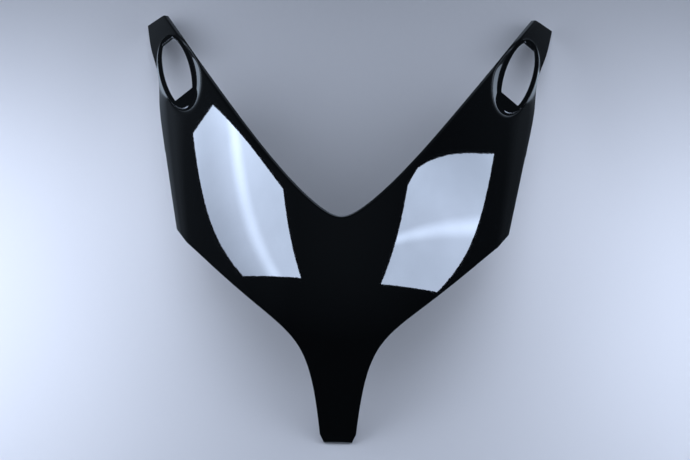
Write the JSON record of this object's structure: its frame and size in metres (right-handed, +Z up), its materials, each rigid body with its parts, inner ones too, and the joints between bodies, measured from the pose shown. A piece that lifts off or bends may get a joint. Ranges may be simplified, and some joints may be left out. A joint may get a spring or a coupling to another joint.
{
  "type": "motorcycle nose fairing",
  "caption": "Glossy black nose fairing for a motorcycle: pointed chin, rounded crown with a screen notch, and long arms with oval mirror holes.",
  "frame": {"origin": "middle of the bounding box in plan, on the table that the chin and the arm ends rest on", "axes": "+X to the right as seen from the chin's end, +Y from the chin to the arm ends, +Z up"},
  "size_m": [0.507, 0.545, 0.1383],
  "materials": {
    "fairing_gloss": "gloss"
  },
  "bodies": {
    "root": {"fairing": "fairing_gloss"}
  },
  "joints": []
}
